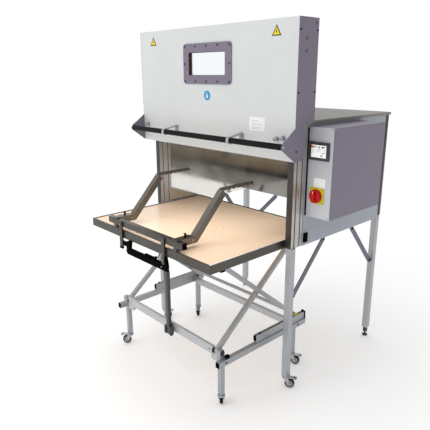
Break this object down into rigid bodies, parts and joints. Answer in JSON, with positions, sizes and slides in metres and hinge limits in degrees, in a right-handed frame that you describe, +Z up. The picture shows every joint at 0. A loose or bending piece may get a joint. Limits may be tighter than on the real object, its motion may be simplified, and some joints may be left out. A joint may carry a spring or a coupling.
{
  "type": "lift-door batch oven with roll-in scissor table",
  "caption": "Floor-standing batch oven with a vertical lift door, window and control cabinet, and a roll-in cart whose scissor lift raises a loading table.",
  "frame": {"origin": "centre of the footprint at floor level", "axes": "+Z up; +Y from the operator's side to the rear; +X to the operator's right, where the control cabinet is"},
  "size_m": [1.546, 1.626, 2.24],
  "materials": {
    "light_paint": "satin powder coat",
    "dark_paint": "satin powder coat",
    "rail_paint": "satin powder coat",
    "roof_paint": "satin paint",
    "leg_aluminium": "anodised",
    "brace_metal": "satin paint",
    "cart_aluminium": "anodised",
    "post_steel": "satin",
    "stainless": "brushed",
    "heater_steel": "heat darkened",
    "table_steel": "brushed, dark",
    "table_surface": "matte",
    "glass": "clear",
    "handle_foam": "foam sleeve",
    "black_plastic": "matte",
    "spring_steel": "satin paint",
    "zinc": "zinc plated",
    "wheel_rubber": "matte",
    "screen_plastic": "moulded",
    "yellow_plastic": "moulded",
    "red_plastic": "moulded"
  },
  "bodies": {
    "oven": {"leg_front_left": "leg_aluminium", "leg_front_right": "leg_aluminium", "leg_rear_left": "leg_aluminium", "leg_rear_right": "leg_aluminium", "brace_right_rear": "brace_metal", "brace_right_front": "brace_metal", "brace_left_rear": "brace_metal", "brace_rear_left": "brace_metal", "base_frame": "rail_paint", "casing": "rail_paint", "roof_plate": "roof_paint", "chamber_lining": "stainless", "heater_bank": "heater_steel", "door_post_left": "post_steel", "door_post_right": "post_steel", "control_cabinet": "dark_paint", "cabinet_front": "light_paint", "screen_panel": "screen_plastic", "switch_plate": "yellow_plastic"},
    "fan": {"fan_impeller": "stainless"},
    "door": {"door_panel": "light_paint", "door_inner_sheet": "stainless", "window_frame": "dark_paint", "window_glass": "glass", "door_cheek_left": "dark_paint", "door_cheek_right": "dark_paint", "handle_bar": "handle_foam", "handle_support_left": "zinc", "handle_support_right": "zinc"},
    "switch": {"switch_knob": "red_plastic"},
    "foot_left": {"levelling_foot_left": "zinc"},
    "foot_right": {"levelling_foot_right": "zinc"},
    "cart": {"cart_side_left": "cart_aluminium", "cart_side_right": "cart_aluminium", "cart_front_rail": "cart_aluminium", "cart_rear_rail": "cart_aluminium", "gas_spring_cylinder": "spring_steel"},
    "front_arms": {"scissor_front_arms": "cart_aluminium"},
    "table": {"table_frame": "table_steel", "table_board": "table_surface", "support_arm_left": "table_steel", "support_arm_right": "table_steel", "arm_crossbar": "table_steel", "push_handle": "black_plastic", "release_cable": "black_plastic", "gas_spring_rod": "zinc"},
    "rear_arms": {"scissor_rear_arms": "cart_aluminium"},
    "lever": {"release_lever": "black_plastic"},
    "fork_oven_left": {"caster_fork_oven_left": "zinc"},
    "wheel_oven_left": {"caster_wheel_oven_left": "wheel_rubber"},
    "fork_oven_right": {"caster_fork_oven_right": "zinc"},
    "wheel_oven_right": {"caster_wheel_oven_right": "wheel_rubber"},
    "fork_cart_front_left": {"caster_fork_cart_front_left": "zinc"},
    "wheel_cart_front_left": {"caster_wheel_cart_front_left": "wheel_rubber"},
    "fork_cart_front_right": {"caster_fork_cart_front_right": "zinc"},
    "wheel_cart_front_right": {"caster_wheel_cart_front_right": "wheel_rubber"},
    "fork_cart_rear_left": {"caster_fork_cart_rear_left": "zinc"},
    "wheel_cart_rear_left": {"caster_wheel_cart_rear_left": "wheel_rubber"},
    "fork_cart_rear_right": {"caster_fork_cart_rear_right": "zinc"},
    "wheel_cart_rear_right": {"caster_wheel_cart_rear_right": "wheel_rubber"}
  },
  "joints": [
    {"name": "door_lift", "type": "slide", "parent": "oven", "child": "door", "axis": [0, 0, 1], "range_m": [-0.14, 0]},
    {"name": "fan_spin", "type": "hinge", "parent": "oven", "child": "fan", "pos_m": [-0.061, 0.349, 1.58], "axis": [0, 0, 1], "continuous": true},
    {"name": "switch_turn", "type": "hinge", "parent": "oven", "child": "switch", "pos_m": [0.684, -0.083, 1.281], "axis": [0, 1, 0], "range_deg": [0, 90]},
    {"name": "foot_left_turn", "type": "hinge", "parent": "oven", "child": "foot_left", "pos_m": [-0.706, 0.781, 0], "axis": [0, 0, 1], "continuous": true},
    {"name": "foot_right_turn", "type": "hinge", "parent": "oven", "child": "foot_right", "pos_m": [0.584, 0.781, 0], "axis": [0, 0, 1], "continuous": true},
    {"name": "cart_roll", "type": "slide", "parent": "oven", "child": "cart", "axis": [0, 1, 0], "range_m": [-0.6, 0.5]},
    {"name": "table_lift", "type": "slide", "parent": "cart", "child": "table", "axis": [0, 0, 1], "range_m": [-0.12, 0.06]},
    {"name": "front_arms_swing", "type": "hinge", "parent": "cart", "child": "front_arms", "pos_m": [-0.061, -0.626, 0.374], "axis": [1, 0, 0], "range_deg": [-10.5, 5.5]},
    {"name": "rear_arms_swing", "type": "hinge", "parent": "table", "child": "rear_arms", "pos_m": [-0.061, -0.626, 0.932], "axis": [1, 0, 0], "range_deg": [-5.5, 10.5]},
    {"name": "lever_squeeze", "type": "hinge", "parent": "table", "child": "lever", "pos_m": [0.06, -0.802, 0.911], "axis": [0, -1, 0], "range_deg": [0, 4], "stiffness_Nm_per_rad": 1},
    {"name": "swivel_oven_left", "type": "hinge", "parent": "oven", "child": "fork_oven_left", "pos_m": [-0.706, -0.181, 0.08], "axis": [0, 0, 1], "continuous": true},
    {"name": "roll_oven_left", "type": "hinge", "parent": "fork_oven_left", "child": "wheel_oven_left", "pos_m": [-0.68348, -0.168, 0.032], "axis": [-0.5, 0.866, 0], "continuous": true},
    {"name": "swivel_oven_right", "type": "hinge", "parent": "oven", "child": "fork_oven_right", "pos_m": [0.584, -0.181, 0.08], "axis": [0, 0, 1], "continuous": true},
    {"name": "roll_oven_right", "type": "hinge", "parent": "fork_oven_right", "child": "wheel_oven_right", "pos_m": [0.60652, -0.168, 0.032], "axis": [-0.5, 0.866, 0], "continuous": true},
    {"name": "swivel_cart_front_left", "type": "hinge", "parent": "cart", "child": "fork_cart_front_left", "pos_m": [-0.561, -0.617, 0.08], "axis": [0, 0, 1], "continuous": true},
    {"name": "roll_cart_front_left", "type": "hinge", "parent": "fork_cart_front_left", "child": "wheel_cart_front_left", "pos_m": [-0.57938, -0.63538, 0.032], "axis": [0.7071, -0.7071, 0], "continuous": true},
    {"name": "swivel_cart_front_right", "type": "hinge", "parent": "cart", "child": "fork_cart_front_right", "pos_m": [0.439, -0.617, 0.08], "axis": [0, 0, 1], "continuous": true},
    {"name": "roll_cart_front_right", "type": "hinge", "parent": "fork_cart_front_right", "child": "wheel_cart_front_right", "pos_m": [0.42062, -0.59862, 0.032], "axis": [-0.7071, -0.7071, 0], "continuous": true},
    {"name": "swivel_cart_rear_left", "type": "hinge", "parent": "cart", "child": "fork_cart_rear_left", "pos_m": [-0.561, 0.059, 0.08], "axis": [0, 0, 1], "continuous": true},
    {"name": "roll_cart_rear_left", "type": "hinge", "parent": "fork_cart_rear_left", "child": "wheel_cart_rear_left", "pos_m": [-0.54262, 0.04062, 0.032], "axis": [0.7071, 0.7071, 0], "continuous": true},
    {"name": "swivel_cart_rear_right", "type": "hinge", "parent": "cart", "child": "fork_cart_rear_right", "pos_m": [0.439, 0.059, 0.08], "axis": [0, 0, 1], "continuous": true},
    {"name": "roll_cart_rear_right", "type": "hinge", "parent": "fork_cart_rear_right", "child": "wheel_cart_rear_right", "pos_m": [0.46256, 0.06999, 0.032], "axis": [-0.4226, 0.9063, 0], "continuous": true}
  ],
  "couplings": [
    {"joint": "front_arms_swing", "follows": "table_lift", "rad_per_m": 1.445},
    {"joint": "rear_arms_swing", "follows": "table_lift", "rad_per_m": -1.445}
  ]
}
